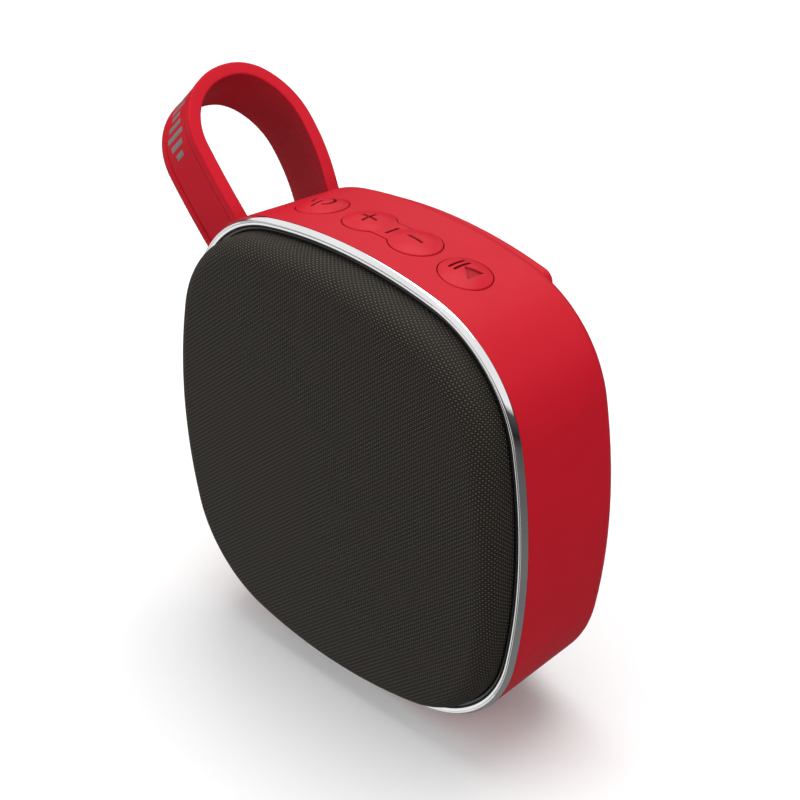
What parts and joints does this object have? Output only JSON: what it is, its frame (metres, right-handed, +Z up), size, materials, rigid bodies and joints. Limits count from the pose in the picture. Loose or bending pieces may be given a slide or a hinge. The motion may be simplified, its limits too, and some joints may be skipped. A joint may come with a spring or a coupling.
{
  "type": "portable wireless speaker",
  "caption": "Palm-size rounded-square wireless speaker: domed fabric front in a chrome bezel, red drafted housing, keys on top, side port cover and corner wrist strap.",
  "frame": {"origin": "centre of the base foot's flat underside, on the surface the speaker stands on", "axes": "+Z up, the fabric front faces -Y, +X is to the right seen from the front"},
  "size_m": [0.1038, 0.0365, 0.1052],
  "materials": {
    "red_shell": "soft satin, moulded",
    "red_key": "soft satin, engraved marks",
    "red_silicone": "satin silicone",
    "chrome": "mirror plated",
    "black_gloss": "gloss",
    "black_plastic": "moulded",
    "dark_steel": "powder coated",
    "grille_cloth": "plain woven",
    "dark_rubber": "matte",
    "screw_steel": "zinc plated",
    "zinc_steel": "zinc plated",
    "ferrite": "ground ferrite",
    "copper_wire": "enamelled copper wire",
    "black_paper": "pressed paper",
    "spider_cloth": "resin-dipped cloth",
    "foam": "closed-cell foam",
    "battery_wrap": "foil pouch",
    "circuit_board": "solder mask",
    "wire_sleeve": "insulated wire"
  },
  "bodies": {
    "housing": {"main_housing": "red_shell", "chrome_bezel": "chrome", "grille_trim": "black_gloss", "grille_plate": "dark_steel", "grille_fabric": "grille_cloth", "rear_panel": "red_shell", "rear_panel_screws": "screw_steel", "base_foot": "dark_rubber", "strap_ends": "red_silicone", "strap_pin": "screw_steel", "rocker_pivot": "black_plastic", "key_board": "circuit_board", "key_board_screws": "screw_steel", "tact_switches": "black_plastic", "front_baffle": "black_plastic", "baffle_screws": "screw_steel", "driver_basket": "dark_steel", "driver_screws": "screw_steel", "driver_magnet": "ferrite", "driver_top_plate": "zinc_steel", "driver_yoke": "zinc_steel", "surround": "dark_rubber", "spider": "spider_cloth", "driver_gasket": "foam", "battery_cell": "battery_wrap", "battery_pad": "foam", "main_board": "circuit_board", "main_board_screws": "screw_steel", "usb_socket": "zinc_steel", "aux_jack": "black_plastic", "board_chips": "black_plastic", "driver_leads": "wire_sleeve", "battery_leads": "wire_sleeve", "key_cable": "wire_sleeve"},
    "power_key": {"power_key": "red_key"},
    "volume_rocker": {"volume_rocker": "red_key"},
    "play_key": {"play_key": "red_key"},
    "port_cover": {"port_cover": "red_silicone"},
    "strap": {"strap": "red_silicone"},
    "cone_assembly": {"driver_cone": "black_paper", "dust_cap": "black_paper", "voice_coil": "copper_wire"}
  },
  "joints": [
    {"name": "power_press", "type": "slide", "parent": "housing", "child": "power_key", "axis": [0.1742, -0.075, -0.9819], "range_m": [0, 0.00035], "stiffness_N_per_m": 1500},
    {"name": "play_press", "type": "slide", "parent": "housing", "child": "play_key", "axis": [-0.1723, -0.075, -0.9822], "range_m": [0, 0.00035], "stiffness_N_per_m": 1500},
    {"name": "volume_tilt", "type": "hinge", "parent": "housing", "child": "volume_rocker", "pos_m": [0, -0.00224, 0.08635], "axis": [0, 0.9972, -0.075], "range_deg": [-1.5, 1.5], "stiffness_Nm_per_rad": 0.1},
    {"name": "port_cover_hinge", "type": "hinge", "parent": "housing", "child": "port_cover", "pos_m": [-0.0413, 0.0028, 0.0316], "axis": [-0.075, -0.9972, 0], "range_deg": [0, 100]},
    {"name": "strap_flex", "type": "slide", "parent": "housing", "child": "strap", "axis": [0, 1, 0], "range_m": [-0.003, 0.003], "stiffness_N_per_m": 60},
    {"name": "cone_excursion", "type": "slide", "parent": "housing", "child": "cone_assembly", "axis": [0, -1, 0], "range_m": [-0.001, 0.001], "stiffness_N_per_m": 900}
  ]
}
